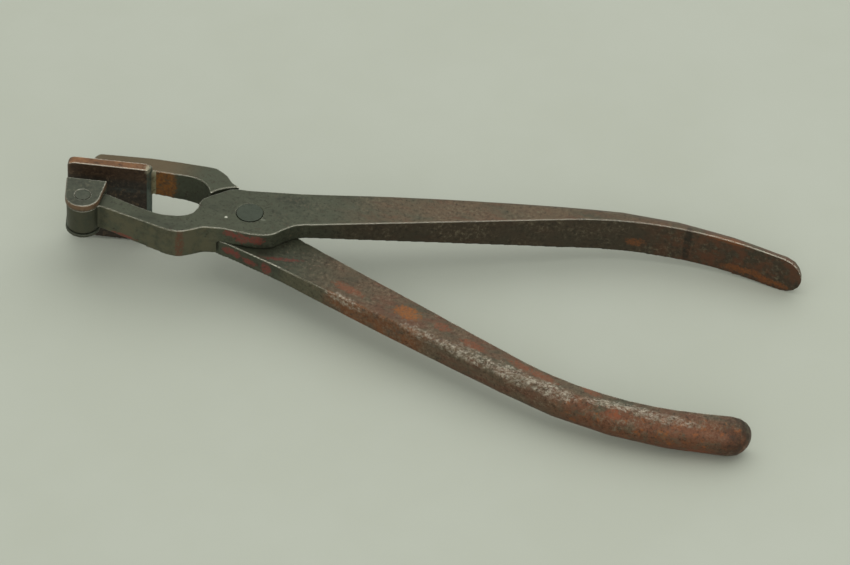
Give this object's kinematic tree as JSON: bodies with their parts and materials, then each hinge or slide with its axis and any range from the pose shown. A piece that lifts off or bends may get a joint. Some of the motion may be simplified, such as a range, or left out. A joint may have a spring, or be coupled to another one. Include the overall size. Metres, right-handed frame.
{
  "type": "pincers",
  "caption": "Forged hand pincers with bowed handles, a tall upright face plate on one jaw and a round-backed swivelling pad on the other, pivoting on a flush rivet.",
  "frame": {"origin": "centre of the pivot rivet, on the flat underside of the lapped joint", "axes": "+Z along the rivet, upwards as the pincers lie; +X from the rivet towards the handles, along the line halfway between them; +Y towards the jaw with the face plate"},
  "size_m": [0.2135, 0.0857, 0.0278],
  "materials": {
    "near_lever": "worn forged steel with brown patina",
    "far_lever": "worn forged steel with brown patina",
    "pivot_rivet": "worn steel",
    "jaw_plate": "dark steel with brown top edge",
    "braze_fillet": "dull brazing metal",
    "swivel_pad": "worn steel with brown rim",
    "pad_pin": "worn steel"
  },
  "bodies": {
    "plate_jaw": {"far_lever": "far_lever", "pivot_rivet": "pivot_rivet", "jaw_plate": "jaw_plate", "braze_fillet": "braze_fillet"},
    "pad_jaw": {"near_lever": "near_lever"},
    "pad": {"swivel_pad": "swivel_pad", "pad_pin": "pad_pin"}
  },
  "joints": [
    {"name": "jaw_pivot", "type": "hinge", "parent": "plate_jaw", "child": "pad_jaw", "pos_m": [0, 0, 0.0055], "axis": [0, 0, 1], "range_deg": [-5.7, 30]},
    {"name": "pad_swivel", "type": "hinge", "parent": "pad_jaw", "child": "pad", "pos_m": [-0.0468, -0.0116, 0.0055], "axis": [0, 0, 1], "range_deg": [-2, 14]}
  ]
}
